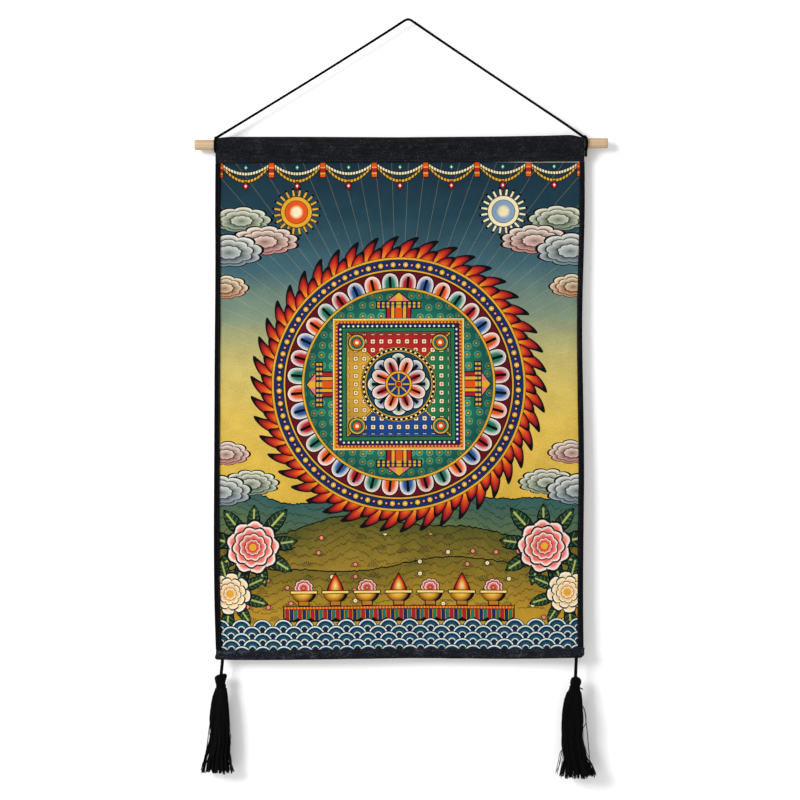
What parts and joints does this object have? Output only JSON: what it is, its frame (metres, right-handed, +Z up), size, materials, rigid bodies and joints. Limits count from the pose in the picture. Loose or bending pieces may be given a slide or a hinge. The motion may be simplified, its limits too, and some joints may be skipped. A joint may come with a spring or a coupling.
{
  "type": "thangka scroll painting with a wooden hanging rod",
  "caption": "Canvas scroll with a mandala design, bound in black cloth, hung by a cord from a wooden rod, with tassels at the foot.",
  "frame": {"origin": "the underside of the hanging cord where it lies on its nail or hook", "axes": "+Z up, -Y out of the printed side towards the viewer, +X to the viewer's right along the rod"},
  "size_m": [0.3927, 0.0244, 0.7214],
  "materials": {
    "printed_canvas": "matte printed canvas",
    "black_cloth": "matte black twill",
    "dowel_wood": "bare sanded softwood",
    "black_cord": "twisted cord, slight sheen",
    "tassel_thread": "silky thread"
  },
  "bodies": {
    "root": {"dowel": "dowel_wood", "heading": "black_cloth", "print_panel": "printed_canvas", "side_binding_left": "black_cloth", "side_binding_right": "black_cloth", "bottom_hem": "black_cloth", "hanging_cord": "black_cord", "cord_loop_left": "black_cord", "cord_loop_right": "black_cord", "tassel_cord_left": "black_cord", "tassel_cord_right": "black_cord", "tassel_left": "tassel_thread", "tassel_right": "tassel_thread", "neck_tie_left": "tassel_thread", "neck_tie_right": "tassel_thread"}
  },
  "joints": []
}
